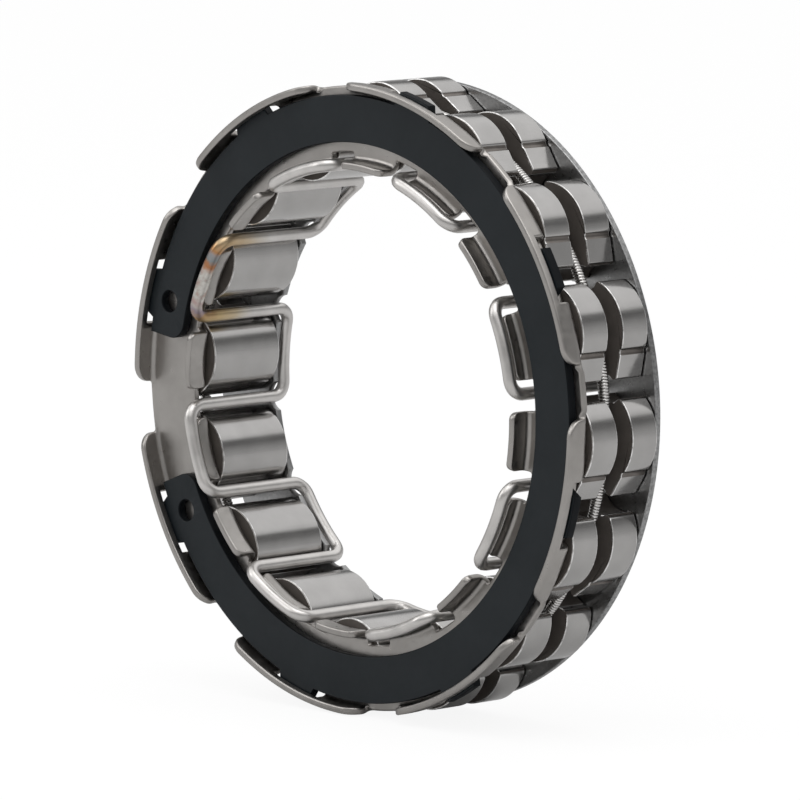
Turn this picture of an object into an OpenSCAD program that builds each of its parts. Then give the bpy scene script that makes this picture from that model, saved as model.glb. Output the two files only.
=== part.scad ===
// Caged sprag clutch bearing, which locks a shaft to a housing bore one way and frees it the other.
// The ring is drawn round the Z axis with its clip side towards +Z, then stood on its rim, so that
// its axis lies along Y and the clip side faces -Y. The origin is on the axis, at the middle of the
// sprags' length. Angles go clockwise from the top, as seen from the clip side.

/* [Races] */
// Radius of the shaft that the sprags stand on
inner_race_r = 26.4; // [25:0.1:28]
// Radial space between the shaft and the housing bore
race_gap = 11; // [10.6:0.1:11.6]

/* [Sprags] */
// Length of a sprag along the ring axis
sprag_len = 10.5; // [8:0.5:16]
// Play between a sprag's ends and the rings beside it
end_float = 0.15; // [0.1:0.05:0.4]
// Radius of the round foot, whose centre is the rocking axis
foot_r = 5.4; // [5.2:0.1:5.6]
// Half the width of the foot
foot_half = 4.7; // [4.2:0.1:4.9]
// Sideways shift of the crown's centre from the rocking axis, which makes the wedge
crown_lead = 0.6; // [0.4:0.1:0.8]
// Radial shift of the crown's centre below the rocking axis
crown_drop = 0.5; // [0.3:0.1:0.7]
// Reach of the head from the rocking axis
head_reach = 5.1; // [4.7:0.1:5.3]
// Height of the flat side of the head
head_side = 0.58; // [0.4:0.02:0.9]
// Depth of the hollow in the flank under the head
head_hollow = 0.8; // [0.6:0.05:1.2]
// Place of the crease between the crown and the toe
crease_reach = 3.2; // [2.8:0.1:3.6]
// Half the width of the crease
crease_half = 0.4; // [0.3:0.05:0.5]
// Depth of the crease
crease_depth = 0.18; // [0.1:0.02:0.24]
// Reach of the toe from the rocking axis
toe_reach = 6; // [5.6:0.1:6.2]
// Slope of the toe, in degrees
toe_slope = 29.4; // [26:0.2:33]
// Thickness of the toe at its tip
toe_tip = 0.77; // [0.5:0.01:1]
// Undercut of the toe's end
toe_rake = 0.1; // [0:0.05:0.2]
// Depth of the hollow in the flank under the toe
toe_hollow = 0.8; // [0.6:0.02:1.1]
// Width of the groove for the garter spring
groove_w = 2.4; // [2:0.1:3]

/* [Garter spring] */
// Outer diameter of the spring's coil
coil_d = 1.4; // [1.2:0.05:1.5]
// Depth of the coil's centre below the housing bore
coil_depth = 3.4; // [3.2:0.05:3.6]
// Space under the coil, which lets the sprags rock
coil_room = 1.15; // [1.1:0.05:1.3]

/* [Front cage] */
// Thickness of the pressed sheet
sheet_t = 0.85; // [0.6:0.05:1]
// Inside radius of the bends
bend_in = 0.6; // [0.4:0.05:0.6]
// Space between the lips and the housing bore
lip_clear = 0.2; // [0.1:0.05:0.6]
// Width of a lip
lip_w = 22.6; // [19:0.1:23]
// Radius of a lip's corners
lip_corner_r = 2; // [0.6:0.1:2]
// Strip of lip left in front of a window
bridge_w = 1.05; // [0.6:0.05:1.4]
// Step of the plate's edge between two lips, below the lips
land_step = 0.3; // [0.2:0.05:0.8]
// Space between the tabs and the shaft
tab_clear = 0.75; // [0.6:0.05:1]
// Height of the tall tabs over the plate's back
tall_tab_h = 3.35; // [2.6:0.05:4]
// Height of the short tabs over the plate's back
short_tab_h = 2.35; // [2:0.05:3]
// Radius of a tab's corners
tab_corner_r = 0.75; // [0.4:0.05:0.9]
// Space between a tall tab and the wire beside it
tall_tab_gap = 1.2; // [0.9:0.05:1.5]
// Space between a short tab and the wire beside it
short_tab_gap = 0.75; // [0.6:0.05:1.2]
// Space between the plate's notches and the wire's legs
notch_gap = 0.68; // [0.4:0.02:1]

/* [Snap clip] */
// Thickness of the clip
clip_t = 1.2; // [0.9:0.05:1.5]
// Radial width of the clip
clip_w = 5.55; // [4.8:0.05:5.8]
// Space between the clip's rim and the lips
clip_clear = 0.6; // [0.6:0.05:0.9]
// Width of an ear at the clip's rim
ear_w = 6.2; // [4.5:0.1:7]
// Slope of an ear's sides, in degrees
ear_slope = 20; // [0:1:30]
// Reach of an ear past the lips
ear_out = 0.7; // [0.3:0.05:0.9]
// Space at each side of an ear in its window
ear_side_gap = 0.95; // [0.5:0.05:1.4]
// Space in front of an ear in its window
ear_front_gap = 0.08; // [0.05:0.01:0.2]
// Half of the gap between the clip's ends, in degrees
clip_open = 14.8; // [12:0.1:17]
// Radius of the inner corners of the clip's ends
end_corner_r = 2.2; // [1:0.1:2.6]
// Diameter of the plier holes
plier_d = 2.6; // [2.2:0.1:3]
// Shift of the plier holes out from the middle of the clip's width
plier_shift = 0.32; // [0:0.02:0.7]
// Angle of a plier hole past the clip's end, in degrees
plier_back = 7.4; // [5.5:0.1:9]

/* [Zigzag wire] */
// Diameter of the wire
wire_d = 1.5; // [1.2:0.05:1.6]
// Radius of the wire's corners, along its middle
wire_bend_r = 1.8; // [1.2:0.05:2]
// Space between the wire and what it lies on
wire_seat = 0.02; // [0.01:0.01:0.1]

/* [Rear ring] */
// Thickness of the rear ring
rear_t = 0.85; // [0.6:0.05:1.2]
// Space between the rear ring and the shaft
rear_bore_clear = 1.1; // [0.8:0.05:1.2]
// Space between the rear ring and the housing bore
rear_clear = 0.5; // [0.4:0.05:0.8]
// Bevel of the rear ring's rim
rear_bevel = 0.15; // [0.05:0.05:0.25]
// Space between the rear ring's notches and the wire's legs
rear_notch_gap = 0.26; // [0.16:0.02:0.5]
// Space between the rear ring's notches and the wire's corners
rear_notch_side = 0.1; // [0.05:0.05:0.3]

/* [Stance] */
// Turn of the first sprag from the top, in degrees
ring_turn = 4.75; // [0:0.25:22.5]

/* [Hidden] */
$fn = 96;
sprag_count = 16;
lip_count = sprag_count / 2;
pitch = 360 / sprag_count;
lip_pitch = 360 / lip_count;
lip_shift = pitch / 2;
gap_lip = 5.5;
cut_over = 0.1;
join_over = 0.8;
corner_over = 0.02;
land_over_a = 0.3;
bend_steps = 4;
run_steps = 3;
wire_sides = 12;

outer_race_r = inner_race_r + race_gap;
far_r = outer_race_r + race_gap;

// Sprag profile, from the rocking axis: first sideways (clockwise), then outwards
hinge_r = inner_race_r + foot_r;
crown_r = race_gap - foot_r + crown_drop;
foot_drop = sqrt(foot_r * foot_r - foot_half * foot_half);
head_v = crown_v(-head_reach);
crease_v = crown_v(crease_reach);
toe_v = crease_v - (toe_reach - crease_reach) * tan(toe_slope);
foot_head_pt = [-foot_half, -foot_drop];
foot_toe_pt = [foot_half, -foot_drop];
toe_under_pt = [toe_reach - toe_rake, toe_v - toe_tip];
toe_pt = [toe_reach, toe_v];
crease_pt = [crease_reach, crease_v];
crease_toe_pt = crease_pt + crease_half * [cos(toe_slope), -sin(toe_slope)];
crease_a = asin((crease_reach + crown_lead) / crown_r) - 2 * asin(crease_half / 2 / crown_r);
crease_crown_pt = [crown_r * sin(crease_a) - crown_lead, crown_r * cos(crease_a) - crown_drop];
head_pt = [-head_reach, head_v];
head_under_pt = [-head_reach, head_v - head_side];
coil_ring_r = outer_race_r - coil_depth;
groove_floor = coil_ring_r - coil_d / 2 - coil_room - hinge_r;

// Heights along the ring axis, towards the clip side
plate_z = sprag_len / 2 + end_float;
plate_top_z = plate_z + sheet_t;
clip_z = plate_top_z + wire_seat;
clip_top_z = clip_z + clip_t;
window_top_z = clip_top_z + ear_front_gap;
lip_h = window_top_z + bridge_w - plate_z;
wire_front_z = plate_z + short_tab_h + wire_seat + wire_d / 2;
wire_back_z = -(plate_z + rear_t + wire_seat + wire_d / 2);

// Radii of the cage and the clip
bend_out = bend_in + sheet_t;
lip_r = outer_race_r - lip_clear;
land_r = lip_r - land_step;
tab_r = inner_race_r + tab_clear;
wire_r = tab_r + sheet_t / 2;
notch_r = wire_r + wire_d / 2 + notch_gap;
plate_rim_r = lip_r - bend_out;
window_r = plate_rim_r - cut_over;
clip_r = lip_r - sheet_t - clip_clear;
clip_mid_r = clip_r - clip_w / 2;
ear_r = lip_r + ear_out;
window_w = ear_w + 2 * ear_side_gap;
rear_r = outer_race_r - rear_clear;
rear_bore_r = inner_race_r + rear_bore_clear;
rear_notch_r = wire_bend_r + rear_notch_side;

// Half widths of the tabs, from the arc between a sprag's middle and the wire's leg beside it
leg_arc = wire_r * pitch / 2 * PI / 180;
tall_tab_half = leg_arc - wire_d / 2 - tall_tab_gap;
short_tab_half = leg_arc - wire_d / 2 - short_tab_gap;
land_half_a = lip_pitch / 2 - asin(lip_w / 2 / lip_r) + land_over_a;
wire_bend_a = wire_bend_r / wire_r * 180 / PI;
gap_a = ring_turn + lip_shift + gap_lip * lip_pitch;

function sprag_name(i) = str("sprag_", i < 10 ? "0" : "", i);
function station(i) = ring_turn + pitch * (i - 1);
function lip_station(i) = ring_turn + lip_shift + lip_pitch * (i - 1);
function leg_station(i) = station(i) + pitch / 2;
function crown_v(s) = sqrt(crown_r * crown_r - (s + crown_lead) * (s + crown_lead)) - crown_drop;

// Circle through two corners that hollows the flank between them, on the right going from a to b
function hollow_r(a, b, depth) = (pow(norm(b - a) / 2, 2) + depth * depth) / (2 * depth);
function right_of(a, b) = [b[1] - a[1], a[0] - b[0]] / norm(b - a);
function hollow_at(a, b, depth) = (a + b) / 2 + right_of(a, b) * (hollow_r(a, b, depth) - depth);

// Course of the wire as [angle, height], leg by leg: a corner, a leg, a corner and a run along the ring
function leg_course(i) =
    let (a = leg_station(i), up = i % 2 == 1 ? 1 : -1)
    let (z0 = up > 0 ? wire_back_z : wire_front_z, z1 = up > 0 ? wire_front_z : wire_back_z)
    concat(
        [for (j = [0 : bend_steps]) let (t = 90 * j / bend_steps)
            [a - wire_bend_a * (1 - sin(t)), z0 + up * wire_bend_r * (1 - cos(t))]],
        [for (j = [0 : bend_steps]) let (t = 90 * j / bend_steps)
            [a + wire_bend_a * (1 - cos(t)), z1 - up * wire_bend_r * (1 - sin(t))]],
        [for (j = [1 : run_steps - 1])
            [a + wire_bend_a + (pitch - 2 * wire_bend_a) * j / run_steps, z1]]
    );
function outward(p) = [sin(p[0]), cos(p[0]), 0];
function on_ring(p) = wire_r * outward(p) + [0, 0, p[1]];
function unit(v) = v / norm(v);
function wire_circle(before, at, after) =
    let (out = outward(at), side = cross(unit(on_ring(after) - on_ring(before)), out))
    [for (j = [0 : wire_sides - 1]) let (b = 360 * j / wire_sides)
        on_ring(at) + wire_d / 2 * (cos(b) * out + sin(b) * side)];

// Stands the ring on its rim, with its clip side towards -Y
module stand() {
    rotate([90, 0, 0]) children();
}

// Turns what is drawn at the top to its place round the ring
module at_angle(a) {
    rotate([0, 0, -a]) children();
}

// Outline drawn as [sideways, along the axis], carried outwards from one radius to another
module outward_block(from_r, to_r) {
    translate([0, to_r, 0]) rotate([90, 0, 0]) linear_extrude(to_r - from_r) children();
}

module wedge_2d(half_a) {
    polygon([[0, 0], [far_r * tan(half_a), far_r], [-far_r * tan(half_a), far_r]]);
}

// Section turned round the ring axis, so far to each side of the top
module top_sector(half_a) {
    rotate([0, 0, 90 - half_a]) rotate_extrude(angle = 2 * half_a) children();
}

module annulus_2d(from_r, to_r) {
    difference() {
        circle(to_r);
        circle(from_r);
    }
}

// Upright strip whose two upper corners are round
module round_top_2d(half_w, bottom, top, corner_r) {
    translate([-half_w, bottom]) square([2 * half_w, top - corner_r - bottom]);
    translate([corner_r - half_w, bottom]) square([2 * (half_w - corner_r), top - bottom]);
    for (side = [-1, 1]) {
        translate([side * (half_w - corner_r), top - corner_r]) circle(corner_r);
    }
}

// Section of a bent edge: an upright wall whose outside is at 0, a round bend and a flat
module bent_section_2d(height, flat) {
    translate([0, bend_out]) square([sheet_t, height - bend_out]);
    translate([bend_out, 0]) square([flat, sheet_t]);
    translate([bend_out, bend_out]) intersection() {
        annulus_2d(bend_in, bend_out);
        translate([-bend_out, -bend_out]) square(bend_out);
    }
}

// Lips or tabs: a bent section turned over their width, with the corners of its free edge rounded
module bent_flap(half_w, at_r, height, corner_r) {
    intersection() {
        translate([0, 0, plate_z]) top_sector(asin(half_w / at_r)) children();
        outward_block(inner_race_r / 2, far_r)
            round_top_2d(half_w + corner_over, 0, plate_z + height, corner_r);
    }
}

module lips() {
    for (i = [1 : lip_count]) {
        at_angle(lip_station(i)) bent_flap(lip_w / 2, lip_r, lip_h, lip_corner_r)
            translate([lip_r, 0]) mirror([1, 0]) bent_section_2d(lip_h + cut_over, join_over);
    }
}

module inner_tabs(first, half_w, height) {
    flat = notch_r + join_over - tab_r - bend_out;
    for (i = [first : 2 : sprag_count]) {
        at_angle(station(i)) bent_flap(half_w, tab_r + sheet_t, height, tab_corner_r)
            translate([tab_r, 0]) bent_section_2d(height + cut_over, flat);
    }
}

module plate() {
    translate([0, 0, plate_z]) linear_extrude(sheet_t) {
        annulus_2d(notch_r, plate_rim_r);
        for (i = [1 : lip_count]) {
            at_angle(lip_station(i) + lip_pitch / 2) intersection() {
                annulus_2d(plate_rim_r - join_over, land_r);
                wedge_2d(land_half_a);
            }
        }
    }
}

module front_cage() {
    color([0.62, 0.6, 0.57]) stand() difference() {
        union() {
            plate();
            lips();
            inner_tabs(1, tall_tab_half, tall_tab_h);
            inner_tabs(2, short_tab_half, short_tab_h);
        }
        for (i = [1 : lip_count]) {
            at_angle(lip_station(i)) outward_block(window_r, far_r)
                translate([-window_w / 2, plate_z - cut_over])
                    square([window_w, window_top_z - plate_z + cut_over]);
        }
    }
}

module ear_2d() {
    rim_half = ear_w / 2;
    draw_in = (ear_r - clip_r) * tan(ear_slope);
    intersection() {
        circle(ear_r);
        polygon([
            [-rim_half, clip_mid_r], [rim_half, clip_mid_r], [rim_half, clip_r],
            [rim_half - draw_in, ear_r + cut_over], [draw_in - rim_half, ear_r + cut_over], [-rim_half, clip_r]
        ]);
    }
}

// What is taken off the inner corner of an end of the clip, with the end's flat along the top's line
module end_corner_2d(side) {
    at = [side * (end_corner_r - corner_over), clip_r - clip_w + end_corner_r - corner_over];
    cut_w = end_corner_r + join_over;
    difference() {
        translate(at - [side > 0 ? cut_w : 0, cut_w]) square(cut_w);
        translate(at) circle(end_corner_r);
    }
}

// Ring with ears and a gap, whose ends are flat with a round inner corner
module clip_2d() {
    difference() {
        union() {
            annulus_2d(clip_r - clip_w, clip_r);
            for (i = [1 : lip_count]) {
                at_angle(lip_station(i)) ear_2d();
            }
        }
        at_angle(gap_a) wedge_2d(clip_open);
        for (side = [-1, 1]) {
            at_angle(gap_a + side * clip_open) end_corner_2d(side);
            at_angle(gap_a + side * (clip_open + plier_back))
                translate([0, clip_mid_r + plier_shift]) circle(d = plier_d);
        }
    }
}

module snap_clip() {
    color([0.16, 0.18, 0.19]) stand()
        translate([0, 0, clip_z]) linear_extrude(clip_t) clip_2d();
}

module zigzag_wire() {
    course = [for (i = [1 : sprag_count]) each leg_course(i)];
    count = len(course);
    circles = [for (i = [0 : count - 1]) each wire_circle(
        course[(i + count - 1) % count] - [i == 0 ? 360 : 0, 0],
        course[i],
        course[(i + 1) % count] + [i == count - 1 ? 360 : 0, 0]
    )];
    sides = [for (i = [0 : count - 1], j = [0 : wire_sides - 1])
        let (i2 = (i + 1) % count, j2 = (j + 1) % wire_sides)
        each [
            [i * wire_sides + j, i2 * wire_sides + j2, i * wire_sides + j2],
            [i * wire_sides + j, i2 * wire_sides + j, i2 * wire_sides + j2]
        ]];
    color([0.78, 0.77, 0.74]) stand() polyhedron(circles, sides);
}

module garter_spring() {
    color([0.7, 0.69, 0.66]) stand()
        rotate_extrude() translate([coil_ring_r, 0]) circle(d = coil_d);
}

module rear_ring() {
    back_z = -(plate_z + rear_t);
    color([0.33, 0.33, 0.35]) stand() difference() {
        rotate_extrude() polygon([
            [rear_bore_r, back_z],
            [rear_r - rear_bevel, back_z],
            [rear_r, back_z + rear_bevel],
            [rear_r, -plate_z - rear_bevel],
            [rear_r - rear_bevel, -plate_z],
            [rear_bore_r, -plate_z]
        ]);
        for (i = [1 : sprag_count]) {
            at_angle(leg_station(i))
                translate([0, wire_r + wire_d / 2 + rear_notch_gap - rear_notch_r, back_z - cut_over])
                    cylinder(r = rear_notch_r, h = rear_t + 2 * cut_over);
        }
    }
}

module sprag_2d() {
    difference() {
        union() {
            polygon([
                foot_head_pt, foot_toe_pt, toe_under_pt, toe_pt, crease_pt, head_pt, head_under_pt
            ]);
            intersection() {
                circle(foot_r);
                translate([-foot_half, -foot_r]) square([2 * foot_half, foot_r]);
            }
            intersection() {
                translate([-crown_lead, -crown_drop]) circle(crown_r);
                translate([-head_reach, head_under_pt[1]]) square([head_reach + crease_reach, crown_r]);
            }
        }
        translate(hollow_at(head_under_pt, foot_head_pt, head_hollow))
            circle(hollow_r(head_under_pt, foot_head_pt, head_hollow));
        translate(hollow_at(foot_toe_pt, toe_under_pt, toe_hollow))
            circle(hollow_r(foot_toe_pt, toe_under_pt, toe_hollow));
        translate(hollow_at(crease_toe_pt, crease_crown_pt, crease_depth))
            circle(hollow_r(crease_toe_pt, crease_crown_pt, crease_depth));
    }
}

module sprag(i) {
    color([0.6, 0.59, 0.57]) stand() at_angle(station(i)) translate([0, hinge_r, 0]) difference() {
        translate([0, 0, -sprag_len / 2]) linear_extrude(sprag_len) sprag_2d();
        translate([-race_gap, groove_floor, -groove_w / 2]) cube([2 * race_gap, race_gap, groove_w]);
    }
}

front_cage();
snap_clip();
zigzag_wire();
garter_spring();
rear_ring();
for (i = [1 : sprag_count]) {
    sprag(i);
}
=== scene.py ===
"""Looks of a caged sprag clutch bearing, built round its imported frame."""

import math

import bmesh
import bpy
from mathutils import Matrix, Vector


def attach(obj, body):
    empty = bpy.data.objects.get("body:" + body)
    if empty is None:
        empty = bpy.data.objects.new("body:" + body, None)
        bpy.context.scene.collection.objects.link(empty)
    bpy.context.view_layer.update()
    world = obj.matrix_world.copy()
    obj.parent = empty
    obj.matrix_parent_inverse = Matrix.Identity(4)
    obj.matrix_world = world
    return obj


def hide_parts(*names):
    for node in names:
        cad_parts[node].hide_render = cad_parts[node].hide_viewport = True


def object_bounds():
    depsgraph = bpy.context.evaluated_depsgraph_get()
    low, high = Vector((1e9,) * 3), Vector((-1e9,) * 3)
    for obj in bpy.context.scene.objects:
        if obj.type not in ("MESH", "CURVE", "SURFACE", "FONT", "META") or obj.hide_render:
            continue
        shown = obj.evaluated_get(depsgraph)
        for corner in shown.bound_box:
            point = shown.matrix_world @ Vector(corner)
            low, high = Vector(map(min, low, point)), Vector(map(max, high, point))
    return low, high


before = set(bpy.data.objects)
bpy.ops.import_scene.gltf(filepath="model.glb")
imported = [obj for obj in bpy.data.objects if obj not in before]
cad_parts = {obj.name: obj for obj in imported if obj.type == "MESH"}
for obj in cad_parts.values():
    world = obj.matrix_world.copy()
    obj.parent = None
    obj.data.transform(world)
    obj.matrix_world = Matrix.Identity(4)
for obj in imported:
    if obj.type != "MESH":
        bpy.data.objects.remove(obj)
cad_low, cad_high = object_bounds()

MM = 0.001
RING_AXIS = (0, 1, 0)
SAME_PLACE = 0.004 * MM
MERGE_WITHIN = 0.001 * MM
CUT_SNAP = 0.012 * MM

# Ring layout: angles in degrees clockwise from the top, seen from the clip side
SPRAG_COUNT = 16
PITCH = 360 / SPRAG_COUNT
FIRST_SPRAG = 4.75
LIP_COUNT = 8
LIP_PITCH = 360 / LIP_COUNT
FIRST_LIP = FIRST_SPRAG + PITCH / 2

# Sprag profile in mm, from its rocking axis
SPRAG_LENGTH = 10.5
HINGE_R = 31.8
FOOT_R = 5.4
FOOT_HEAD, FOOT_TOE = 5.1, 5.0
CROWN_R = 6.1
CROWN_CENTRE = (-0.6, -0.5)
HEAD_REACH = 5.4
HEAD_SIDE = 0.58
HEAD_HOLLOW = 0.8
CREASE_REACH = 3.2
CREASE_HALF = 0.4
CREASE_DEPTH = 0.18
TOE_REACH = 6.0
TOE_SLOPE = 29.4
TOE_TIP = 0.77
TOE_RAKE = 0.1
TOE_HOLLOW = 0.8
GROOVE_WIDTH = 2.4
GROOVE_FLOOR = 0.35
SPRAG_EDGE = 0.16
SHARP_FROM = 24

# Order of a sprag's finishes
GROUND, CREASE, FLANK, EDGE = range(4)

# Front cage in mm: its sheet is laid flat at one radius, edged, then bent up at the bore and the rim
SHEET = 0.85
SHEET_EDGE = 0.22
BEND_R = 1.025
BEND_ROWS = 7
SHEET_COLUMNS = 40
PLATE_Y = -5.825
PLATE_BORE = 28.6
PLATE_RIM = 35.75
LAY_R = 32.0
LAND_R = 36.75
NOTCH_R = 29.0
NOTCH_FILLET = 0.5
LIP_HALF = 17.68
LIP_WALL = 1.75
LIP_CORNER = 1.6
LIP_FILLET = 0.5
LIP_EASE = (-0.3, 0.9)
WINDOW_HALF = 6.31
WINDOW_FOOT = -0.1
BRIDGE = 1.05
TALL_HALF, TALL_WALL = 7.11, 1.9
SHORT_HALF, SHORT_WALL = 8.04, 0.9
TAB_CORNER = 0.8

# Snap clip in mm
CLIP_BACK = -6.27
CLIP_THICK = 1.2
CLIP_EDGE = 0.16
CLIP_R = 35.75
CLIP_BORE = 30.2
CLIP_GAP_AT = 263.5
CLIP_GAP_HALF = 14.8
CLIP_END_CORNER = 2.2
EAR_R = 37.4
EAR_HALF = 3.1
EAR_SLOPE = 20
PLIER_HOLE_AT = 22.2
PLIER_HOLE_RING_R = 33.295
PLIER_HOLE_R = 1.3

# Rear ring in mm
REAR_FRONT = 5.4
REAR_THICK = 0.85
REAR_EDGE = 0.15
REAR_R = 36.9
REAR_BORE = 27.5
REAR_NOTCH_R = 1.9
REAR_NOTCH_RING_R = 26.685

# Wire and garter spring in mm
WIRE_R = 0.75
WIRE_RING_R = 27.575
WIRE_FRONT = -8.52
WIRE_BACK = 7.02
WIRE_BEND_R = 1.8
WELD_ANGLE = 295.2
WELD_HALF = 2.6
WELD_SWELL = 0.06
COIL_RING_R = 34.0
COIL_R = 0.7
COIL_WIRE_R = 0.17
COIL_TURNS = 608
COIL_STEPS = 10


def around(radius, angle, y):
    """Point on the ring at a radius and a clockwise angle, in metres."""
    turn = math.radians(angle)
    return Vector((radius * math.sin(turn), y, radius * math.cos(turn))) * MM


def new_object(name, mesh):
    piece = bpy.data.objects.new(name, mesh)
    bpy.context.scene.collection.objects.link(piece)
    return piece


def mesh_from(bm, name, smooth_angle):
    """Mesh of a finished bmesh, shaded smooth up to an angle between faces."""
    mesh = bpy.data.meshes.new(name)
    bm.to_mesh(mesh)
    bm.free()
    mesh.polygons.foreach_set("use_smooth", [True] * len(mesh.polygons))
    mesh.set_sharp_from_angle(angle=math.radians(smooth_angle))
    return mesh


def even_shading(piece):
    """Keeps broad faces flat beside their rounded edges."""
    weighted = piece.modifiers.new("even_shading", "WEIGHTED_NORMAL")
    weighted.keep_sharp = True
    weighted.weight = 60


def dress(piece, body, node, slot, *finishes):
    for finish in finishes:
        piece.data.materials.append(finish)
    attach(piece, body)
    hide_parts(node)
    return piece


# Outlines and sheets


def clock(point, centre):
    """Clockwise angle of an outline's point seen from a centre, in radians."""
    return math.atan2(point[0] - centre[0], point[1] - centre[1])


class Outline:
    """Closed line in the xz plane, in mm, drawn from edge to edge."""

    def __init__(self, bm, start):
        self.bm = bm
        self.first = self.last = bm.verts.new((start[0] * MM, 0, start[1] * MM))

    def line(self, end):
        vert = self.bm.verts.new((end[0] * MM, 0, end[1] * MM))
        self.bm.edges.new((self.last, vert))
        self.last = vert

    def arc(self, end, centre, steps, long_way=False):
        start = (self.last.co.x / MM, self.last.co.z / MM)
        turn = (clock(end, centre) - clock(start, centre) + math.pi) % (2 * math.pi) - math.pi
        if long_way:
            turn += 2 * math.pi if turn < 0 else -2 * math.pi
        spun = bmesh.ops.spin(
            self.bm, geom=[self.last], cent=Vector((centre[0], 0, centre[1])) * MM,
            axis=RING_AXIS, angle=turn, steps=steps,
        )
        self.last = next(g for g in spun["geom_last"] if isinstance(g, bmesh.types.BMVert))

    def close(self):
        if (self.last.co - self.first.co).length > SAME_PLACE:
            self.bm.edges.new((self.last, self.first))
        else:
            bmesh.ops.pointmerge(self.bm, verts=[self.last, self.first], merge_co=self.first.co)


def full_circle(bm, radius, centre, steps):
    place = Matrix.Translation(Vector((centre[0], 0, centre[1])) * MM)
    upright = Matrix.Rotation(math.pi / 2, 4, "X")
    bmesh.ops.create_circle(
        bm, cap_ends=False, segments=steps, radius=radius * MM, matrix=place @ upright
    )


def thicken(bm, thickness, edge, seams=()):
    """Gives a flat outline its thickness along y, with an edge that is rounded outwards.

    The edges that lie on a seam, a place along x in mm, stay open.
    """

    def on_seam(verts):
        return any(all(abs(v.co.x - seam * MM) < SAME_PLACE for v in verts) for seam in seams)

    bmesh.ops.recalc_face_normals(bm, faces=bm.faces)
    outward = bm.verts.layers.float_vector.new("outward")
    sides = {}
    for e in bm.edges:
        if e.is_boundary and not on_seam(e.verts):
            loop = e.link_loops[0]
            way = loop.link_loop_next.vert.co - loop.vert.co
            side = way.cross(loop.face.normal).normalized()
            for v in e.verts:
                sides.setdefault(v, []).append(side)
    for v, normals in sides.items():
        middle = sum(normals, Vector()).normalized()
        v[outward] = middle / max(0.5, middle.dot(normals[0]))
    made = bmesh.ops.extrude_face_region(bm, geom=bm.faces[:])["geom"]
    bmesh.ops.translate(
        bm, verts=[g for g in made if isinstance(g, bmesh.types.BMVert)], vec=(0, thickness * MM, 0)
    )
    bmesh.ops.delete(bm, geom=[f for f in bm.faces if on_seam(f.verts)], context="FACES")
    walls = [e for e in bm.edges if abs(e.verts[0].co.y - e.verts[1].co.y) > SAME_PLACE]
    steps = 3
    bmesh.ops.subdivide_edges(bm, edges=walls, cuts=2 * steps, use_grid_fill=True)
    for v in bm.verts:
        step = round(v.co.y / (thickness * MM) * (2 * steps + 1))
        if 0 < step < 2 * steps + 1:
            turn = math.pi / 2 * min(step, 2 * steps + 1 - step) / steps
            depth = edge * (1 - math.cos(turn))
            v.co.y = (depth if step <= steps else thickness - depth) * MM
            v.co += v[outward] * edge * math.sin(turn) * MM


def along(angle):
    """Length of an angle on the flat sheet, in mm."""
    return math.radians(angle) * LAY_R


def draw_tab(pen, angle, half, end, notch):
    """A tab from the notch before it to the notch after it, towards the bore."""
    left, right = along(angle - half) + SHEET_EDGE, along(angle + half) - SHEET_EDGE
    foot, corner = notch - NOTCH_FILLET, end + TAB_CORNER
    pen.line((left - NOTCH_FILLET, notch))
    pen.arc((left, foot), (left - NOTCH_FILLET, foot), 4)
    pen.line((left, corner))
    pen.arc((left + TAB_CORNER, end), (left + TAB_CORNER, corner), 6)
    pen.line((right - TAB_CORNER, end))
    pen.arc((right, corner), (right - TAB_CORNER, corner), 6)
    pen.line((right, foot))
    pen.arc((right + NOTCH_FILLET, notch), (right + NOTCH_FILLET, foot), 4)


def draw_lip(pen, land, top):
    """A lip from the land after it to the land before it, towards the rim."""
    middle = along(FIRST_LIP)
    for side in (1, -1):
        end = middle + side * (along(LIP_HALF) - SHEET_EDGE)
        fillet, corner = (end + side * LIP_FILLET, land), (end - side * LIP_CORNER, top)
        curves = [
            (fillet, (end, land + LIP_FILLET), (fillet[0], land + LIP_FILLET), 4),
            ((end, top - LIP_CORNER), corner, (corner[0], top - LIP_CORNER), 9),
        ]
        for first, second, centre, steps in curves[::side]:
            pen.line(first if side > 0 else second)
            pen.arc(second if side > 0 else first, centre, steps)


def bent(place):
    """Where a point of the flat sheet comes to lie when the tabs and the lip are bent up."""
    across, inward = place.x / MM, SHEET / 2 - place.y / MM
    reach = place.z / MM
    quarter = math.pi / 2
    if reach < 0:
        radius, way, past, full = PLATE_BORE, -1, -reach, quarter
    else:
        radius, way, past = PLATE_RIM, 1, reach - (PLATE_RIM - PLATE_BORE)
        start, stop = LIP_EASE
        off = abs(across - along(FIRST_LIP)) - along(LIP_HALF)
        ease = min(1, max(0, (off - start) / (stop - start)))
        full = quarter * (1 - ease * ease * (3 - 2 * ease))
    if past <= 0:
        return PLATE_BORE + reach, -PLATE_Y + inward
    turn = min(past / BEND_R, full)
    straight = past - BEND_R * turn
    out = BEND_R * math.sin(turn) + straight * math.cos(turn) - inward * math.sin(turn)
    rise = BEND_R * (1 - math.cos(turn)) + straight * math.sin(turn) + inward * math.cos(turn)
    return radius + way * out, -PLATE_Y + rise


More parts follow.
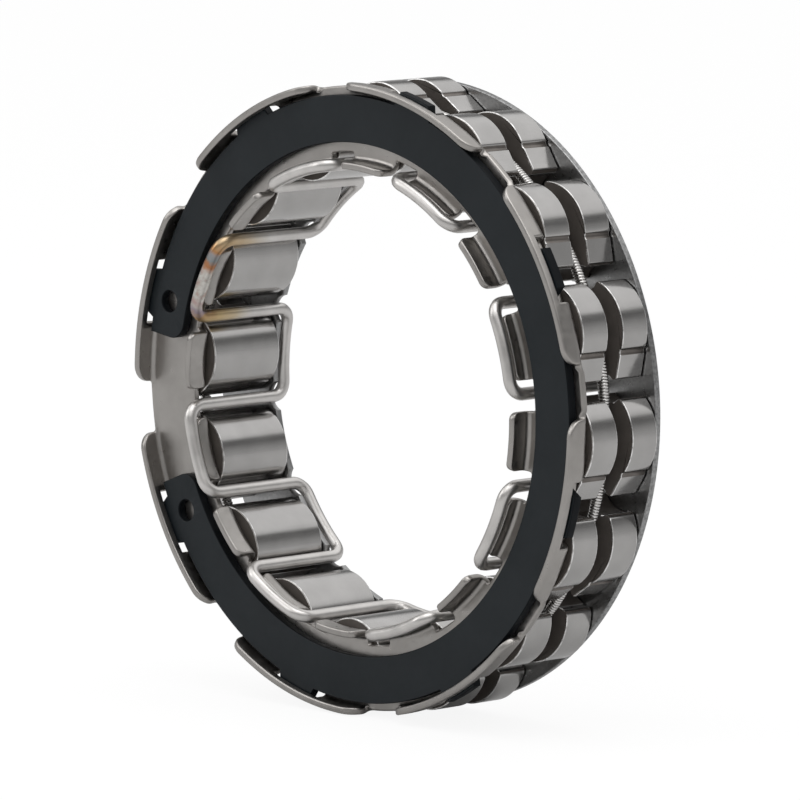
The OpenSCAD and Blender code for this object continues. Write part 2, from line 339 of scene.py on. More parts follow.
def cage_mesh():
    """An eighth of the cage from its flat outline, bent up and repeated round the ring."""
    start, stop = along(FIRST_LIP - LIP_PITCH / 2), along(FIRST_LIP + LIP_PITCH / 2)
    arc = BEND_R * math.pi / 2
    rim = PLATE_RIM - PLATE_BORE
    notch = NOTCH_R - PLATE_BORE + SHEET_EDGE
    land = LAND_R - PLATE_BORE - SHEET_EDGE
    top = rim + arc + LIP_WALL - SHEET_EDGE
    bm = bmesh.new()
    pen = Outline(bm, (start, notch))
    draw_tab(pen, FIRST_SPRAG, TALL_HALF, SHEET_EDGE - arc - TALL_WALL, notch)
    draw_tab(pen, FIRST_SPRAG + PITCH, SHORT_HALF, SHEET_EDGE - arc - SHORT_WALL, notch)
    pen.line((stop, notch))
    pen.line((stop, land))
    draw_lip(pen, land, top)
    pen.line((start, land))
    pen.close()
    bmesh.ops.contextual_create(bm, geom=bm.edges[:])

    middle, half = along(FIRST_LIP), along(WINDOW_HALF) + SHEET_EDGE
    low, high = rim + WINDOW_FOOT - SHEET_EDGE, top + SHEET_EDGE - BRIDGE + SHEET_EDGE
    column = (stop - start) / SHEET_COLUMNS
    across = [start + column * i for i in range(1, SHEET_COLUMNS)] + [middle - half, middle + half]
    rows = [arc * i / BEND_ROWS for i in range(BEND_ROWS + 1)]
    upward = [rim + row for row in rows] + [-row for row in rows] + [low, high]
    for place, way in [((x, 0), (1, 0, 0)) for x in across] + [((0, z), (0, 0, 1)) for z in upward]:
        bmesh.ops.bisect_plane(
            bm, geom=bm.verts[:] + bm.edges[:] + bm.faces[:], dist=CUT_SNAP,
            plane_co=(place[0] * MM, 0, place[1] * MM), plane_no=way,
        )
    window = []
    for f in bm.faces:
        at = f.calc_center_median() / MM
        if abs(at.x - middle) < half and low < at.z < high:
            window.append(f)
    bmesh.ops.delete(bm, geom=window, context="FACES")
    thicken(bm, SHEET, SHEET_EDGE, seams=(start, stop))
    for v in bm.verts:
        radius, height = bent(v.co)
        v.co = around(radius, math.degrees(v.co.x / MM / LAY_R), -height)
    bmesh.ops.spin(
        bm, geom=bm.verts[:] + bm.edges[:] + bm.faces[:], cent=(0, 0, 0), axis=RING_AXIS,
        angle=2 * math.pi * (LIP_COUNT - 1) / LIP_COUNT, steps=LIP_COUNT - 1, use_duplicate=True,
    )
    bmesh.ops.remove_doubles(bm, verts=bm.verts, dist=SAME_PLACE)
    bmesh.ops.recalc_face_normals(bm, faces=bm.faces)
    return mesh_from(bm, "front_cage_sheet", 40)


def turned(angle, point):
    """A point drawn at the top, turned to its place round the ring."""
    turn = math.radians(angle)
    across, out = point
    return (out * math.sin(turn) + across * math.cos(turn), out * math.cos(turn) - across * math.sin(turn))


def clip_mesh():
    """The snap clip: a ring with ears and a gap, and a plier hole at each end."""
    rim, bore = CLIP_R - CLIP_EDGE, CLIP_BORE + CLIP_EDGE
    tip = EAR_R - CLIP_EDGE
    half = EAR_HALF - CLIP_EDGE
    tip_half = half - (tip - rim) * math.tan(math.radians(EAR_SLOPE))
    inset = math.degrees(CLIP_EDGE / CLIP_R)
    first, last = CLIP_GAP_AT + CLIP_GAP_HALF + inset, CLIP_GAP_AT - CLIP_GAP_HALF - inset + 360
    corner_r = CLIP_END_CORNER - CLIP_EDGE
    corner_a = math.degrees(math.asin(corner_r / (bore + corner_r)))
    flat_r = (bore + corner_r) * math.cos(math.radians(corner_a))
    ear_a = math.degrees(math.asin(half / rim))
    ear_rise = math.sqrt(rim * rim - half * half)
    bm = bmesh.new()
    pen = Outline(bm, turned(first, (0, flat_r)))
    pen.line(turned(first, (0, rim)))
    for i in range(LIP_COUNT):
        station = FIRST_LIP + LIP_PITCH * (i + LIP_COUNT - 2)
        pen.arc(turned(station, (-half, ear_rise)), (0, 0), 24 if i else 4)
        pen.line(turned(station, (-tip_half, tip)))
        pen.arc(turned(station, (tip_half, tip)), (0, 0), 6)
        pen.line(turned(station, (half, ear_rise)))
    pen.arc(turned(last, (0, rim)), (0, 0), 4)
    pen.line(turned(last, (0, flat_r)))
    pen.arc(turned(last - corner_a, (0, bore)), turned(last - corner_a, (0, bore + corner_r)), 9)
    pen.arc(turned(first + corner_a, (0, bore)), (0, 0), 160, long_way=True)
    pen.arc(turned(first, (0, flat_r)), turned(first + corner_a, (0, bore + corner_r)), 9)
    pen.close()
    for side in (1, -1):
        centre = turned(CLIP_GAP_AT + side * PLIER_HOLE_AT, (0, PLIER_HOLE_RING_R))
        full_circle(bm, PLIER_HOLE_R + CLIP_EDGE, centre, 32)
    bmesh.ops.triangle_fill(bm, use_beauty=True, use_dissolve=False, edges=bm.edges[:])
    thicken(bm, CLIP_THICK, CLIP_EDGE)
    bmesh.ops.translate(bm, verts=bm.verts, vec=(0, (CLIP_BACK - CLIP_THICK) * MM, 0))
    bmesh.ops.recalc_face_normals(bm, faces=bm.faces)
    # Faces that don't face along the axis are the cut edges, which get the painted dark reflection finish
    for f in bm.faces:
        f.material_index = 0 if abs(f.normal.y) > 0.9 else 1
    return mesh_from(bm, "snap_clip_ring", 40)


def rear_ring_mesh():
    """The rear ring: a flat ring whose bore is notched for the wire's legs."""
    bore = REAR_BORE + REAR_EDGE
    notch_r = REAR_NOTCH_R + REAR_EDGE
    reach = (bore**2 + REAR_NOTCH_RING_R**2 - notch_r**2) / (2 * bore * REAR_NOTCH_RING_R)
    notch_a = math.degrees(math.acos(reach))
    bm = bmesh.new()
    full_circle(bm, REAR_R - REAR_EDGE, (0, 0), 192)
    pen = Outline(bm, turned(FIRST_LIP + notch_a, (0, bore)))
    for i in range(1, SPRAG_COUNT + 1):
        leg = FIRST_LIP + PITCH * i
        pen.arc(turned(leg - notch_a, (0, bore)), (0, 0), 8)
        pen.arc(turned(leg + notch_a, (0, bore)), turned(leg, (0, REAR_NOTCH_RING_R)), 12)
    pen.close()
    bmesh.ops.triangle_fill(bm, use_beauty=True, use_dissolve=False, edges=bm.edges[:])
    thicken(bm, REAR_THICK, REAR_EDGE)
    bmesh.ops.translate(bm, verts=bm.verts, vec=(0, REAR_FRONT * MM, 0))
    bmesh.ops.recalc_face_normals(bm, faces=bm.faces)
    return mesh_from(bm, "rear_ring_plate", 40)


# Sprags, wire and spring


def hollow_centre(a, b, depth):
    """Centre of the circle that hollows the way from a to b, on its right hand."""
    a, b = Vector(a), Vector(b)
    half = (b - a).length / 2
    radius = (half * half + depth * depth) / (2 * depth)
    right = Vector((b.y - a.y, a.x - b.x)).normalized()
    return (a + b) / 2 + right * (radius - depth)


def crown_height(sideways):
    reach = sideways - CROWN_CENTRE[0]
    return CROWN_CENTRE[1] + math.sqrt(CROWN_R * CROWN_R - reach * reach)


def extend(bm, faces, length):
    """Extrudes faces along the ring axis and returns the new end faces."""
    out = bmesh.ops.extrude_face_region(bm, geom=faces)
    moved = [g for g in out["geom"] if isinstance(g, bmesh.types.BMVert)]
    bmesh.ops.translate(bm, verts=moved, vec=(0, length * MM, 0))
    return [g for g in out["geom"] if isinstance(g, bmesh.types.BMFace)]


def finish_of(face, crease):
    """The crown, the toe's slope and the foot are ground, and the rest but the crease is left as a flank."""
    at = face.calc_center_median() / MM
    outer = face.normal.z > 0.3 and at.z > GROOVE_FLOOR + 1
    foot = face.normal.z < -0.2 and math.hypot(at.x, at.z) > FOOT_R - 0.2
    if abs(face.normal.y) > 0.5 or not (outer or foot):
        return FLANK
    return CREASE if math.hypot(at.x - crease[0], at.z - crease[1]) < CREASE_HALF else GROUND


def sprag_mesh():
    """One sprag at its own rocking axis: half of it from its profile, then mirrored over the groove."""
    foot_head = (-FOOT_HEAD, -math.sqrt(FOOT_R * FOOT_R - FOOT_HEAD * FOOT_HEAD))
    foot_toe = (FOOT_TOE, -math.sqrt(FOOT_R * FOOT_R - FOOT_TOE * FOOT_TOE))
    crease = (CREASE_REACH, crown_height(CREASE_REACH))
    slope = math.radians(TOE_SLOPE)
    toe = (TOE_REACH, crease[1] - (TOE_REACH - CREASE_REACH) * math.tan(slope))
    toe_under = (TOE_REACH - TOE_RAKE, toe[1] - TOE_TIP)
    head = (-HEAD_REACH, crown_height(-HEAD_REACH))
    head_under = (-HEAD_REACH, head[1] - HEAD_SIDE)
    crease_toe = (crease[0] + CREASE_HALF * math.cos(slope), crease[1] - CREASE_HALF * math.sin(slope))
    crown_turn = clock(crease, CROWN_CENTRE) - 2 * math.asin(CREASE_HALF / 2 / CROWN_R)
    crease_crown = (
        CROWN_CENTRE[0] + CROWN_R * math.sin(crown_turn),
        CROWN_CENTRE[1] + CROWN_R * math.cos(crown_turn),
    )
    bm = bmesh.new()
    pen = Outline(bm, foot_head)
    pen.arc(foot_toe, (0, 0), 24)
    pen.arc(toe_under, hollow_centre(foot_toe, toe_under, TOE_HOLLOW), 12)
    pen.line(toe)
    pen.line(crease_toe)
    pen.arc(crease_crown, hollow_centre(crease_toe, crease_crown, CREASE_DEPTH), 8)
    pen.arc(head, CROWN_CENTRE, 21)
    pen.line(head_under)
    pen.arc(foot_head, hollow_centre(head_under, foot_head, HEAD_HOLLOW), 14)
    pen.close()
    end_face = bmesh.ops.contextual_create(bm, geom=bm.edges[:])["faces"][0]
    bmesh.ops.translate(bm, verts=bm.verts, vec=(0, -SPRAG_LENGTH / 2 * MM, 0))

    # The full section as far as the groove, then only what lies under the groove's floor
    inner = extend(bm, [end_face], (SPRAG_LENGTH - GROOVE_WIDTH) / 2)
    cut = bmesh.ops.bisect_plane(
        bm, geom=inner + list(inner[0].edges) + list(inner[0].verts), dist=0,
        plane_co=(0, 0, GROOVE_FLOOR * MM), plane_no=(0, 0, 1),
    )
    parts = [g for g in cut["geom"] if isinstance(g, bmesh.types.BMFace)]
    low = [f for f in parts if f.calc_center_median().z < GROOVE_FLOOR * MM]
    middle = extend(bm, low, GROOVE_WIDTH / 2)
    bmesh.ops.delete(bm, geom=middle + [f for f in low if f.is_valid], context="FACES_ONLY")
    bmesh.ops.mirror(bm, geom=bm.verts[:] + bm.edges[:] + bm.faces[:], axis="Y", merge_dist=MERGE_WITHIN)
    bmesh.ops.remove_doubles(bm, verts=bm.verts, dist=MERGE_WITHIN)
    bmesh.ops.recalc_face_normals(bm, faces=bm.faces)
    for f in bm.faces:
        f.material_index = finish_of(f, crease)
    sharp = []
    for e in bm.edges:
        lengthwise = abs(e.verts[0].co.y - e.verts[1].co.y) > SAME_PLACE
        finishes = [f.material_index for f in e.link_faces]
        of_crease = lengthwise and CREASE in finishes
        of_work_face = GROUND in finishes or CREASE in finishes
        if of_crease or not (of_work_face and e.is_manifold and e.is_convex):
            continue
        if e.calc_face_angle() > math.radians(SHARP_FROM):
            sharp.append(e)
    # Clamping would shrink every rounded edge to a few hundredths of a millimetre
    rounded = bmesh.ops.bevel(
        bm, geom=sharp, offset=SPRAG_EDGE * MM, offset_type="OFFSET", segments=2, profile=0.5,
        affect="EDGES", clamp_overlap=False, material=-1,
    )
    bm.normal_update()
    # Rounded edges that face towards the ends get the painted highlight finish; the others stay ground steel
    for f in rounded["faces"]:
        f.material_index = EDGE if abs(f.normal.y) > 0.2 else GROUND
    return mesh_from(bm, "sprag_cam", 30)


def tube_along(name, points, radius, sides, swell=None):
    """Closed round tube along a course of points, as a mesh."""
    curve = bpy.data.curves.new(name + "_course", "CURVE")
    curve.dimensions = "3D"
    curve.fill_mode = "FULL"
    curve.bevel_depth = radius * MM
    curve.bevel_resolution = sides
    spline = curve.splines.new("POLY")
    spline.points.add(len(points) - 1)
    for point, place in zip(spline.points, points):
        point.co = (*place, 1)
        point.radius = swell(place) if swell else 1
    spline.use_cyclic_u = True
    guide = new_object(name + "_course", curve)
    mesh = bpy.data.meshes.new_from_object(guide.evaluated_get(bpy.context.evaluated_depsgraph_get()))
    bpy.data.objects.remove(guide)
    mesh.name = name
    mesh.polygons.foreach_set("use_smooth", [True] * len(mesh.polygons))
    return new_object(name, mesh)


WELD = around(WIRE_RING_R, WELD_ANGLE, WIRE_FRONT)


def weld_swell(place):
    """Thickening of the wire at its weld, as a factor."""
    near = max(0, 1 - (place - WELD).length / (WELD_HALF * MM))
    return 1 + WELD_SWELL * near * near * (3 - 2 * near)


def wire_course():
    """Middle line of the zigzag wire: a corner, a leg, a corner and a run along the ring, leg by leg."""
    bend = math.degrees(WIRE_BEND_R / WIRE_RING_R)
    run = PITCH - 2 * bend
    steps, course = 8, []
    for leg in range(SPRAG_COUNT):
        angle = FIRST_SPRAG + PITCH * (leg + 0.5)
        start, end = (WIRE_BACK, WIRE_FRONT) if leg % 2 == 0 else (WIRE_FRONT, WIRE_BACK)
        way = math.copysign(WIRE_BEND_R, end - start)
        for i in range(steps + 1):
            t = math.pi / 2 * i / steps
            course.append((angle - bend * (1 - math.sin(t)), start + way * (1 - math.cos(t))))
        for i in range(steps + 1):
            t = math.pi / 2 * i / steps
            course.append((angle + bend * (1 - math.cos(t)), end - way * (1 - math.sin(t))))
        course += [(angle + bend + run * i / steps, end) for i in range(1, steps)]
    places = [around(WIRE_RING_R, angle, y) for angle, y in course]
    # At the weld the middle line steps back, so that the thicker wire keeps its front
    return [place + Vector((0, (weld_swell(place) - 1) * WIRE_R * MM, 0)) for place in places]


def coil_course():
    """Middle line of the garter spring's wire, turn by turn round the ring."""
    count = COIL_TURNS * COIL_STEPS
    middle = COIL_R - COIL_WIRE_R
    course = []
    for i in range(count):
        twist = 2 * math.pi * i / COIL_STEPS
        radius = COIL_RING_R + middle * math.cos(twist)
        course.append(around(radius, 360 * i / count, middle * math.sin(twist)))
    return course


# Finishes


class Finish:
    """A material's node tree, with short calls to add and join its nodes."""

    def __init__(self, name):
        self.material = bpy.data.materials.new(name)
        self.material.use_nodes = True
        self.tree = self.material.node_tree
        self.surface = self.tree.nodes["Principled BSDF"]
        self.place = self.node("ShaderNodeTexCoord").outputs["Object"]

    def node(self, kind, **values):
        made = self.tree.nodes.new(kind)
        for key, value in values.items():
            setattr(made, key, value)
        return made

    def join(self, out, into):
        self.tree.links.new(out, into)

    def set(self, **values):
        for key, value in values.items():
            self.surface.inputs[key.replace("_", " ")].default_value = value

    def drive(self, socket, out):
        self.join(out, self.surface.inputs[socket])

    def mapped(self, scale=(1, 1, 1), shift=(0, 0, 0)):
        mapping = self.node("ShaderNodeMapping")
        mapping.inputs["Scale"].default_value = scale
        mapping.inputs["Location"].default_value = shift
        self.join(self.place, mapping.inputs["Vector"])
        return mapping.outputs["Vector"]

    def distance(self, place):
        made = self.node("ShaderNodeVectorMath", operation="LENGTH")
        self.join(place, made.inputs[0])
        return made.outputs["Value"]

    def height(self, place):
        made = self.node("ShaderNodeSeparateXYZ")
        self.join(place, made.inputs[0])
        return made.outputs["Z"]

    def noise(self, scale, detail=4, place=None):
        made = self.node("ShaderNodeTexNoise")
        made.inputs["Scale"].default_value = scale
        made.inputs["Detail"].default_value = detail
        self.join(place or self.place, made.inputs["Vector"])
        return made.outputs["Fac"]

    def ramp(self, value, *stops):
        made = self.node("ShaderNodeValToRGB")
        elements = made.color_ramp.elements
        while len(elements) < len(stops):
            elements.new(0.5)
        for element, (position, colour) in zip(elements, stops):
            element.position = position
            element.color = (*colour, 1)
        self.join(value, made.inputs["Fac"])
        return made.outputs["Color"]

    def range(self, value, low, high, start=0.3, end=0.7):
        made = self.node("ShaderNodeMapRange")
        for name, number in zip(("From Min", "From Max", "To Min", "To Max"), (start, end, low, high)):
            made.inputs[name].default_value = number
        self.join(value, made.inputs["Value"])
        return made.outputs["Result"]

    def sum(self, first, second):
        made = self.node("ShaderNodeMath", operation="ADD")
        self.join(first, made.inputs[0])
        self.join(second, made.inputs[1])
        return made.outputs["Value"]

    def blend(self, share, first, second):
        made = self.node("ShaderNodeMix", data_type="RGBA")
        self.join(share, made.inputs["Factor"])
        self.join(first, made.inputs["A"])
        self.join(second, made.inputs["B"])
        return made.outputs["Result"]

    def bump(self, height, strength, depth):
        made = self.node("ShaderNodeBump")
        made.inputs["Strength"].default_value = strength
        made.inputs["Distance"].default_value = depth * MM
        self.join(height, made.inputs["Height"])
        self.drive("Normal", made.outputs["Normal"])


def grey(value, warm=0.0):
    return (value * (1 + warm), value, value * (1 - warm))


def cage_steel():
    finish = Finish("cage_steel")
    finish.set(Metallic=1)
    cloud = finish.noise(190, 5)
    finish.drive("Base Color", finish.ramp(cloud, (0.3, grey(0.33, 0.05)), (0.7, grey(0.41, 0.045))))
    finish.drive("Roughness", finish.range(finish.noise(1100, 3), 0.27, 0.4))
    finish.bump(finish.noise(2800, 4), 0.3, 0.02)
    return finish.material


def black_steel():
    finish = Finish("black_steel")
    finish.set(Metallic=0, Specular_IOR_Level=0.25)
    cloud = finish.noise(220, 4)
    dark, light = (0.006, 0.0092, 0.0118), (0.0088, 0.0125, 0.0155)
    finish.drive("Base Color", finish.ramp(cloud, (0.3, dark), (0.7, light)))
    finish.drive("Roughness", finish.range(finish.noise(1200, 3), 0.34, 0.46))
    finish.bump(finish.noise(3800, 2), 0.2, 0.015)
    return finish.material


def black_edge_dark_reflection():
    """The clip's cut edges, duller and darker than its faces: a painted dark reflection, a darker colour in
    place of the dark inside of the ring that these edges mirror.
    """
    finish = Finish("black_edge_dark_reflection")
    finish.set(Metallic=0, Specular_IOR_Level=0.1)
    cloud = finish.noise(300, 4)
    dark, light = (0.004, 0.005, 0.0065), (0.0065, 0.008, 0.0095)
    finish.drive("Base Color", finish.ramp(cloud, (0.3, dark), (0.7, light)))
    finish.drive("Roughness", finish.range(finish.noise(1200, 3), 0.45, 0.58))
    return finish.material


def bright_wire():
    """Drawn steel wire, with the tints that the heat of its weld has left above and below it."""
    finish = Finish("bright_wire")
    finish.set(Metallic=1)
    cloud = finish.noise(420, 4)
    steel = finish.ramp(cloud, (0.3, grey(0.58, 0.03)), (0.7, grey(0.7, 0.03)))
    from_weld = finish.mapped(shift=-WELD)
    gap = finish.distance(from_weld)
    reach = 10 * MM
    place = finish.sum(
        finish.range(gap, 0, 1, 0, reach),
        finish.range(finish.noise(800, 2), -0.035, 0.035),
    )
    above = finish.ramp(
        place, (0.22, (0.62, 0.55, 0.5)), (0.29, (0.46, 0.21, 0.1)), (0.33, (0.45, 0.22, 0.12)),
        (0.38, (0.26, 0.3, 0.31)), (0.43, (0.36, 0.33, 0.33)), (0.5, (0.48, 0.25, 0.11)),
        (0.62, (0.54, 0.4, 0.24)), (1.0, (0.6, 0.56, 0.48)),
    )
    below = finish.ramp(
        place, (0.17, (0.6, 0.52, 0.49)), (0.22, (0.46, 0.32, 0.31)), (0.28, (0.52, 0.47, 0.44)),
        (0.35, (0.33, 0.27, 0.31)), (0.42, (0.42, 0.27, 0.14)), (0.55, (0.56, 0.42, 0.23)),
        (1.0, (0.6, 0.56, 0.48)),
    )
    melt = finish.ramp(
        finish.noise(1300, 4),
        (0.36, (0.72, 0.7, 0.66)), (0.5, (0.58, 0.56, 0.52)), (0.64, (0.5, 0.38, 0.34)),
    )
    heat = finish.blend(finish.range(finish.height(from_weld), 0, 1, -0.5 * MM, 0.5 * MM), below, above)
    tint = finish.blend(finish.range(place, 0, 1, 0.16, 0.26), melt, heat)
    finish.drive("Base Color", finish.blend(finish.range(gap, 1, 0, 0.75 * reach, reach), steel, tint))
    drawn = finish.range(cloud, 0.32, 0.4)
    scale = finish.range(gap, 0.12, 0, 0, 0.4 * reach)
    finish.drive("Roughness", finish.sum(drawn, scale))
    finish.bump(finish.noise(2300, 3), 0.12, 0.01)
    return finish.material


def spring_wire():
    finish = Finish("spring_wire")
    finish.set(Metallic=1, Roughness=0.24)
    cloud = finish.noise(700, 2)
    finish.drive("Base Color", finish.ramp(cloud, (0.3, grey(0.68, 0.02)), (0.7, grey(0.8, 0.02))))
    return finish.material


def dark_steel():
    """Dark rear ring, worn lighter and grainy round its rim."""
    finish = Finish("dark_steel")
    finish.set(Metallic=1)
    grain = finish.noise(2600, 5)
    face = finish.ramp(grain, (0.3, grey(0.3)), (0.7, grey(0.38)))
    rim = finish.ramp(grain, (0.3, grey(0.2)), (0.7, grey(0.42)))
    outwards = finish.distance(finish.mapped(scale=(1, 0, 1)))
    worn = finish.range(outwards, 0, 1, (REAR_R - 0.35) * MM, (REAR_R - 0.1) * MM)
    finish.drive("Base Color", finish.blend(worn, face, rim))
    finish.drive("Roughness", finish.range(finish.noise(1500, 3), 0.26, 0.38))
    finish.bump(finish.noise(2400, 4), 0.35, 0.02)
    return finish.material


def sprag_steel():
    """Ground bearing steel, with fine marks along the sprag."""
    finish = Finish("sprag_steel")
    finish.set(Metallic=1)
    cloud = finish.noise(260, 4)
    marks = finish.noise(3000, 3, finish.mapped(scale=(1, 0.05, 1)))
    finish.drive("Base Color", finish.ramp(cloud, (0.3, grey(0.41, 0.02)), (0.7, grey(0.47, 0.02))))
    finish.drive("Roughness", finish.range(marks, 0.15, 0.22))
    finish.bump(marks, 0.1, 0.006)
    return finish.material


def sprag_edge_highlight():
    """The edges at the sprag's ends and groove, with a painted highlight: a bright, uneven base colour in
    place of the glint of light along them.
    """
    finish = Finish("sprag_edge_highlight")
    finish.set(Metallic=1)
    wear = finish.noise(1500, 4)
    finish.drive("Base Color", finish.ramp(wear, (0.35, grey(0.5, 0.02)), (0.6, grey(0.92, 0.01))))
    finish.drive("Roughness", finish.range(wear, 0.3, 0.18))
    return finish.material


def sprag_crease():
    """The crease between the crown and the toe, which the grinding leaves out."""
    finish = Finish("sprag_crease")
    finish.set(Metallic=1)
    cloud = finish.noise(520, 4)
    finish.drive("Base Color", finish.ramp(cloud, (0.3, (0.15, 0.136, 0.125)), (0.7, (0.21, 0.192, 0.178))))
    finish.drive("Roughness", finish.range(finish.noise(1300, 3), 0.34, 0.44))
    return finish.material


def sprag_flank():
    """The sprag's sides, ends and groove, dull and dark."""
    finish = Finish("sprag_flank")
    finish.set(Metallic=0, Specular_IOR_Level=0.18)
    cloud = finish.noise(420, 5)
    finish.drive("Base Color", finish.ramp(cloud, (0.3, (0.075, 0.066, 0.059)), (0.7, (0.1, 0.088, 0.079))))
    finish.drive("Roughness", finish.range(finish.noise(1300, 3), 0.42, 0.56))
    finish.bump(finish.noise(2600, 3), 0.25, 0.015)
    return finish.material


# Pieces

cage_sheet = new_object("front_cage_sheet", cage_mesh())
snap_clip = new_object("snap_clip_ring", clip_mesh())
rear_plate = new_object("rear_ring_plate", rear_ring_mesh())
for piece in (cage_sheet, snap_clip, rear_plate):
    even_shading(piece)
dress(cage_sheet, "cage", "front_cage", "cage_steel", cage_steel())
dress(snap_clip, "cage", "snap_clip", "black_steel", black_steel(), black_edge_dark_reflection())
dress(rear_plate, "cage", "rear_ring", "dark_steel", dark_steel())
dress(
    tube_along("zigzag_wire_round", wire_course(), WIRE_R, 4, weld_swell),
    "cage", "zigzag_wire", "bright_wire", bright_wire(),
)
dress(
    tube_along("garter_coil", coil_course(), COIL_WIRE_R, 1),
    "cage", "garter_spring", "spring_wire", spring_wire(),
)

cam = sprag_mesh()
finishes = sprag_steel(), sprag_crease(), sprag_flank(), sprag_edge_highlight()
for i in range(SPRAG_COUNT):
    angle = FIRST_SPRAG + PITCH * i
    mesh = cam.copy()
    turn = Matrix.Rotation(math.radians(angle), 4, RING_AXIS)
    mesh.transform(Matrix.Translation(around(HINGE_R, angle, 0)) @ turn)
    sprag = new_object(f"sprag_cam_{i + 1:02d}", mesh)
    even_shading(sprag)
    node = f"sprag_{i + 1:02d}"
    dress(sprag, node, node, "sprag_steel", *finishes)
bpy.data.meshes.remove(cam)

# Floor, light and camera

FLOOR_HALF = 3
FLOOR_SEEN, FLOOR_MIRRORED = 0.98, 0.6
FLOOR_GLOW = 0.9
AMBIENT = 0.9
BACKDROP_LEVELS = [(0.0, 0.55), (0.16, 0.42), (0.32, 0.2), (0.44, 0.15), (0.5, 0.9), (0.6, 1.0)]

floor_bm = bmesh.new()
bmesh.ops.create_grid(floor_bm, x_segments=1, y_segments=1, size=FLOOR_HALF)
bmesh.ops.translate(floor_bm, verts=floor_bm.verts, vec=(0, 0, cad_low[2]))
floor_mesh = bpy.data.meshes.new("floor")
floor_bm.to_mesh(floor_mesh)
floor_bm.free()
floor = new_object("floor", floor_mesh)


def see_background(tree):
    """1 for rays that show the background: seen straight, in metal or through glass."""
    path = tree.nodes.new("ShaderNodeLightPath")
    first = tree.nodes.new("ShaderNodeMath")
    first.operation = "MAXIMUM"
    second = tree.nodes.new("ShaderNodeMath")
    second.operation = "MAXIMUM"
    tree.links.new(path.outputs["Is Camera Ray"], first.inputs[0])
    tree.links.new(path.outputs["Is Glossy Ray"], first.inputs[1])
    tree.links.new(first.outputs[0], second.inputs[0])
    tree.links.new(path.outputs["Is Transmission Ray"], second.inputs[1])
    return second.outputs[0]


def pale_floor():
    """White where the camera sees it, down to its shadow, and pale grey where metal mirrors it."""
    material = bpy.data.materials.new("pale_floor")
    material.use_nodes = True
    tree = material.node_tree
    tree.nodes.clear()
    output = tree.nodes.new("ShaderNodeOutputMaterial")
    mix = tree.nodes.new("ShaderNodeMixShader")
    diffuse = tree.nodes.new("ShaderNodeBsdfDiffuse")
    glow = tree.nodes.new("ShaderNodeEmission")
    glow.inputs["Color"].default_value = (1, 1, 1, 1)
    path = tree.nodes.new("ShaderNodeLightPath")
    colour, share = diffuse.inputs["Color"], mix.inputs["Fac"]
    for low, high, socket in ((FLOOR_MIRRORED, FLOOR_SEEN, colour), (0, FLOOR_GLOW, share)):
        level = tree.nodes.new("ShaderNodeMapRange")
        level.inputs["To Min"].default_value = low
        level.inputs["To Max"].default_value = high
        tree.links.new(path.outputs["Is Camera Ray"], level.inputs["Value"])
        tree.links.new(level.outputs["Result"], socket)
    tree.links.new(diffuse.outputs[0], mix.inputs[1])
    tree.links.new(glow.outputs[0], mix.inputs[2])
    tree.links.new(mix.outputs[0], output.inputs["Surface"])
    return material


floor_mesh.materials.append(pale_floor())


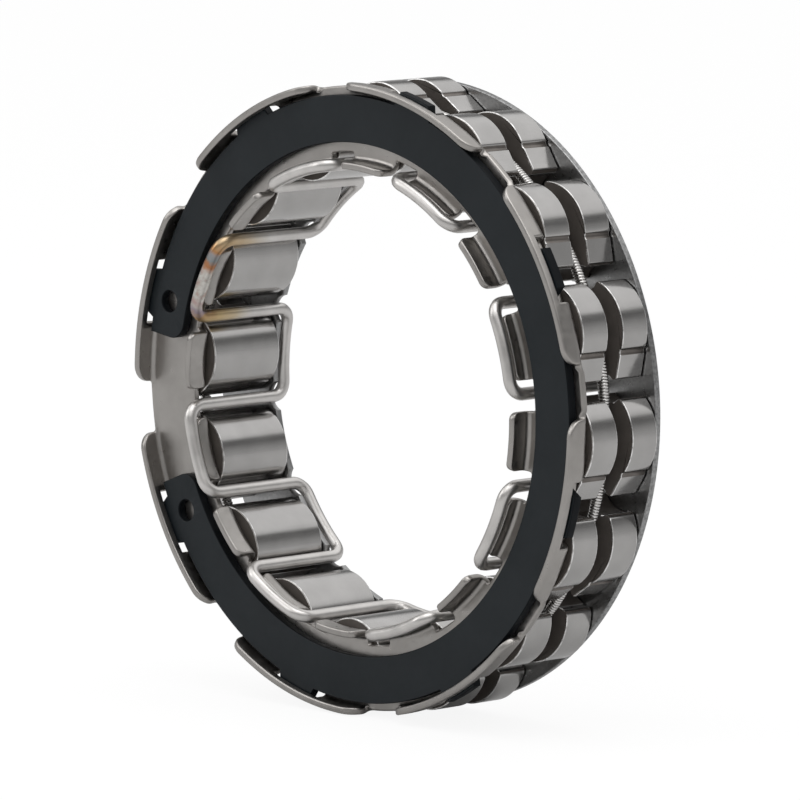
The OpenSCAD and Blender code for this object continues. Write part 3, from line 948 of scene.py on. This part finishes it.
def studio_world():
    """White behind the object; metal sees it dim between the backdrop and the light overhead."""
    world = bpy.data.worlds.new("studio")
    world.use_nodes = True
    tree = world.node_tree
    tree.nodes.clear()
    output = tree.nodes.new("ShaderNodeOutputWorld")
    mix = tree.nodes.new("ShaderNodeMixShader")
    ambient = tree.nodes.new("ShaderNodeBackground")
    ambient.inputs["Color"].default_value = (1, 1, 1, 1)
    ambient.inputs["Strength"].default_value = AMBIENT
    backdrop = tree.nodes.new("ShaderNodeBackground")
    backdrop.inputs["Color"].default_value = (1, 1, 1, 1)
    place = tree.nodes.new("ShaderNodeTexCoord")
    split = tree.nodes.new("ShaderNodeSeparateXYZ")
    height = tree.nodes.new("ShaderNodeValToRGB")
    elements = height.color_ramp.elements
    while len(elements) < len(BACKDROP_LEVELS):
        elements.new(0.5)
    for element, (position, level) in zip(elements, BACKDROP_LEVELS):
        element.position = position
        element.color = (level, level, level, 1)
    path = tree.nodes.new("ShaderNodeLightPath")
    level = tree.nodes.new("ShaderNodeMath")
    level.operation = "MAXIMUM"
    tree.links.new(place.outputs["Generated"], split.inputs[0])
    tree.links.new(split.outputs["Z"], height.inputs["Fac"])
    tree.links.new(height.outputs["Color"], level.inputs[0])
    tree.links.new(path.outputs["Is Camera Ray"], level.inputs[1])
    tree.links.new(level.outputs[0], backdrop.inputs["Strength"])
    tree.links.new(see_background(tree), mix.inputs["Fac"])
    tree.links.new(ambient.outputs[0], mix.inputs[1])
    tree.links.new(backdrop.outputs[0], mix.inputs[2])
    tree.links.new(mix.outputs[0], output.inputs["Surface"])
    return world


bpy.context.scene.world = studio_world()


def soft_lamp(name, place, size, power):
    lamp = bpy.data.lights.new(name, "AREA")
    lamp.shape = "RECTANGLE"
    lamp.size, lamp.size_y = size
    lamp.energy = power
    made = bpy.data.objects.new(name, lamp)
    bpy.context.scene.collection.objects.link(made)
    made.location = place
    made.rotation_euler = (-Vector(place)).to_track_quat("-Z", "Y").to_euler()


soft_lamp("top_light", (0.1, -0.1, 0.7), (0.6, 0.6), 1.6)
soft_lamp("left_light", (-0.5, -0.5, 0.35), (0.4, 0.4), 0.8)

CAMERA_AZIMUTH = math.radians(46.24)
CAMERA_ELEVATION = math.radians(7.176)
CAMERA_DISTANCE = 893.4
CAMERA_LENS = 341.9
CAMERA_SENSOR = 36
AIM_RIGHT, AIM_UP, AIM_BACK = 0.353, -0.607, -0.35
back = Vector((
    math.sin(CAMERA_AZIMUTH) * math.cos(CAMERA_ELEVATION),
    -math.cos(CAMERA_AZIMUTH) * math.cos(CAMERA_ELEVATION),
    math.sin(CAMERA_ELEVATION),
))
right = Vector((math.cos(CAMERA_AZIMUTH), math.sin(CAMERA_AZIMUTH), 0))
up = back.cross(right)
aim = right * AIM_RIGHT + up * AIM_UP + Vector((0, AIM_BACK, 0))
camera_data = bpy.data.cameras.new("camera")
camera_data.lens = CAMERA_LENS
camera_data.sensor_width = CAMERA_SENSOR
camera_data.clip_start = 0.01
camera = bpy.data.objects.new("camera", camera_data)
bpy.context.scene.collection.objects.link(camera)
axes = Matrix((right, up, back)).transposed().to_4x4()
camera.matrix_world = Matrix.Translation((aim + back * CAMERA_DISTANCE) * MM) @ axes
bpy.context.scene.camera = camera

bpy.context.scene.view_settings.view_transform = "Standard"
